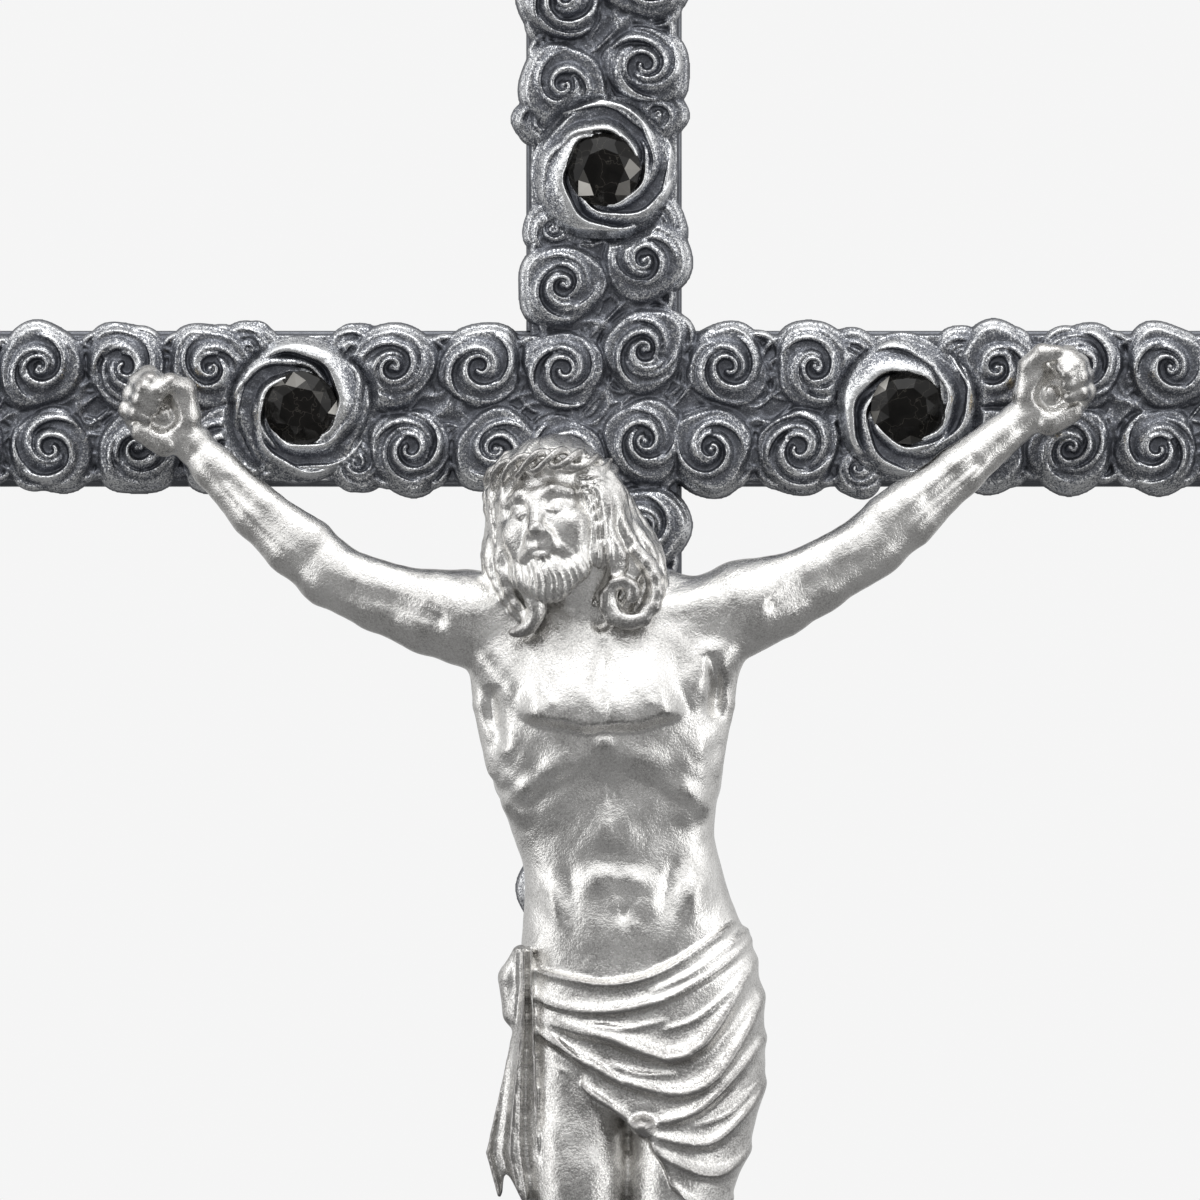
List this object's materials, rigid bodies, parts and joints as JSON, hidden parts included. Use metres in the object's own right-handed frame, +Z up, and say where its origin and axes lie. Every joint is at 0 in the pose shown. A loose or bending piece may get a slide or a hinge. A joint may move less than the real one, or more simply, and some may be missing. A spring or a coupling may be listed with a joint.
{
  "type": "altar cross",
  "caption": "Small standing altar cross: dark rose-covered bars with set round stones, a bright cast figure on the front, and a stepped weighted base.",
  "frame": {"origin": "centre of the base's footprint, on the surface the cross stands on", "axes": "+Z up along the upright; +X to the right seen from the front, along the cross beam; the figure and roses face -Y"},
  "size_m": [0.14, 0.062, 0.248],
  "materials": {
    "dark_metal_smooth": "satin oxidised silver plate",
    "dark_metal_relief": "oxidised silver plate, ridges rubbed bright",
    "dark_stone": "gloss, faceted",
    "bright_silver": "satin silver plate with fine cast grain",
    "brass_fixings": "satin",
    "base_metal": "satin oxidised silver plate, edges rubbed bright",
    "ballast_iron": "matte",
    "steel_fixings": "satin",
    "steel_cover": "satin",
    "base_felt": "matte felt"
  },
  "bodies": {
    "root": {"upright_beam": "dark_metal_smooth", "cross_beam": "dark_metal_smooth", "relief_left": "dark_metal_relief", "relief_right": "dark_metal_relief", "relief_crossing": "dark_metal_relief", "relief_upper": "dark_metal_relief", "relief_shaft": "dark_metal_relief", "setting_left": "dark_metal_relief", "setting_right": "dark_metal_relief", "setting_upper": "dark_metal_relief", "setting_foot": "dark_metal_relief", "gem_left": "dark_stone", "gem_right": "dark_stone", "gem_upper": "dark_stone", "gem_foot": "dark_stone", "corpus_body": "bright_silver", "corpus_arm_left": "bright_silver", "corpus_arm_right": "bright_silver", "hand_post_left": "brass_fixings", "hand_post_right": "brass_fixings", "hip_post": "brass_fixings", "foot_post": "brass_fixings", "post_nuts": "brass_fixings", "base_plinth": "base_metal", "base_step": "base_metal", "socket_block": "base_metal", "shaft_collar": "base_metal", "ballast_block": "ballast_iron", "tie_bolt": "steel_fixings", "tie_washer": "steel_fixings", "bottom_cover": "steel_cover", "cover_screws": "steel_fixings", "base_pad": "base_felt"}
  },
  "joints": []
}
